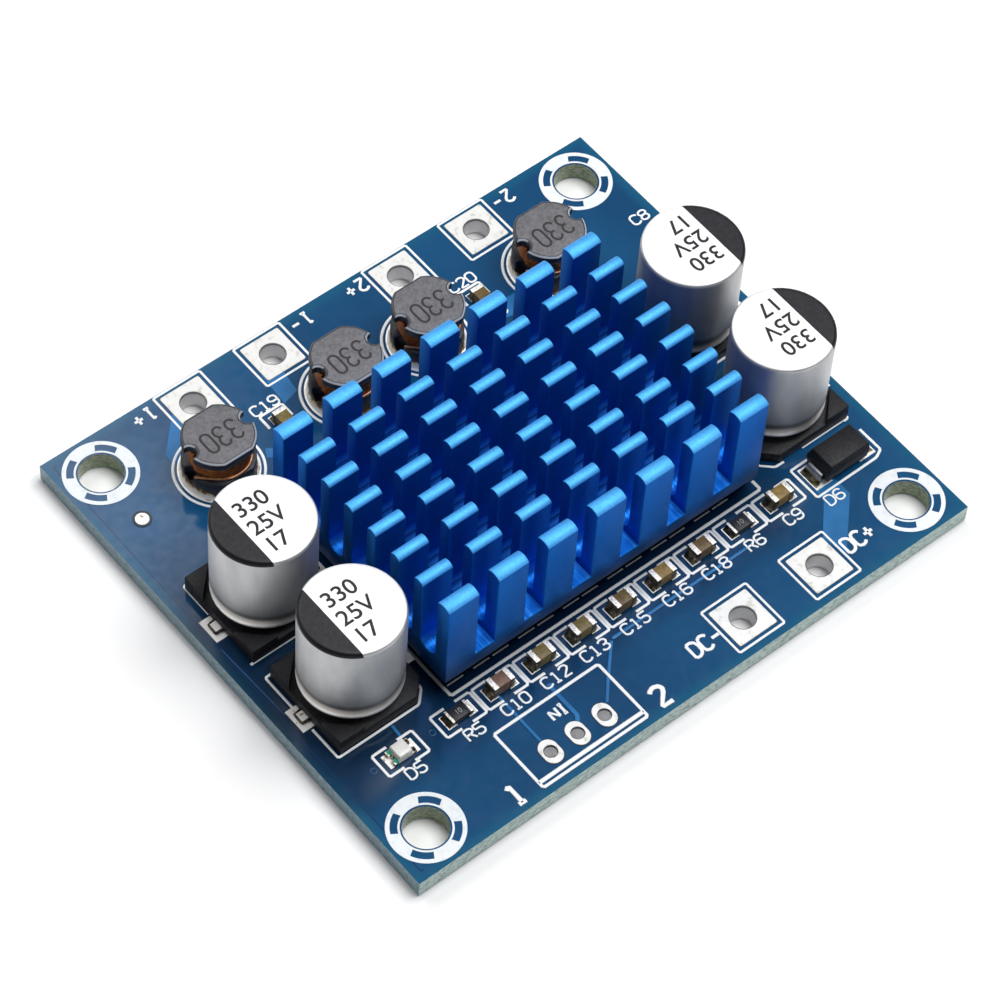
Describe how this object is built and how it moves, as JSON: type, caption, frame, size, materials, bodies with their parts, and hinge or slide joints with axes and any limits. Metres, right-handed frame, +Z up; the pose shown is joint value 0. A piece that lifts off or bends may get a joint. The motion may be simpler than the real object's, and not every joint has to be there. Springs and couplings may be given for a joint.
{
  "type": "audio amplifier board",
  "caption": "Small stereo audio amplifier board: a finned heatsink over the amplifier chip, with electrolytic capacitors and drum inductors round it and plated holes for the wires.",
  "frame": {"origin": "the middle of the board's flat underside", "axes": "+X along the long edge, +Y from the edge with the input and power holes to the edge with the speaker pads, +Z up through the heatsink"},
  "size_m": [0.053, 0.0454, 0.0122],
  "materials": {
    "board": "deep blue solder mask over glass-fibre laminate",
    "heatsink": "satin blue anodised aluminium",
    "adhesive": "matt white thermal adhesive",
    "moulding": "fine matt black epoxy moulding",
    "tinned": "matt tin plate",
    "solder": "bright solder over copper",
    "capacitor_base": "black moulded base",
    "capacitor_can": "satin aluminium with a printed black segment",
    "ferrite": "matt dark grey sintered ferrite",
    "copper": "enamelled copper wire",
    "chip_resistor": "black glazed ceramic with tinned ends",
    "chip_capacitor": "brown ceramic with tinned ends",
    "lamp_base": "white laminate",
    "lamp_lens": "clear pale epoxy"
  },
  "bodies": {
    "root": {"amplifier_chip_body": "moulding", "amplifier_chip_leads": "tinned", "capacitor_base_1": "capacitor_base", "capacitor_base_2": "capacitor_base", "capacitor_base_3": "capacitor_base", "capacitor_base_4": "capacitor_base", "capacitor_can_1": "capacitor_can", "capacitor_can_2": "capacitor_can", "capacitor_can_3": "capacitor_can", "capacitor_can_4": "capacitor_can", "capacitor_terminals_1": "tinned", "capacitor_terminals_2": "tinned", "capacitor_terminals_3": "tinned", "capacitor_terminals_4": "tinned", "chip_capacitor_1": "chip_capacitor", "chip_capacitor_2": "chip_capacitor", "chip_capacitor_3": "chip_capacitor", "chip_capacitor_4": "chip_capacitor", "chip_capacitor_5": "chip_capacitor", "chip_capacitor_6": "chip_capacitor", "chip_capacitor_7": "chip_capacitor", "chip_capacitor_8": "chip_capacitor", "chip_capacitor_9": "chip_capacitor", "chip_resistor_1": "chip_resistor", "chip_resistor_2": "chip_resistor", "diode_body": "moulding", "diode_leads": "tinned", "heatsink": "heatsink", "inductor_core_1": "ferrite", "inductor_core_2": "ferrite", "inductor_core_3": "ferrite", "inductor_core_4": "ferrite", "inductor_terminals_1": "solder", "inductor_terminals_2": "solder", "inductor_terminals_3": "solder", "inductor_terminals_4": "solder", "inductor_winding_1": "copper", "inductor_winding_2": "copper", "inductor_winding_3": "copper", "inductor_winding_4": "copper", "input_pad_1": "solder", "input_pad_2": "solder", "input_pad_3": "solder", "lamp_base": "lamp_base", "lamp_lens": "lamp_lens", "lamp_terminals": "tinned", "output_pad_1": "solder", "output_pad_2": "solder", "output_pad_3": "solder", "output_pad_4": "solder", "power_pad_1": "solder", "power_pad_2": "solder", "printed_circuit_board": "board", "solder_lands": "solder", "thermal_adhesive": "adhesive"}
  },
  "joints": []
}
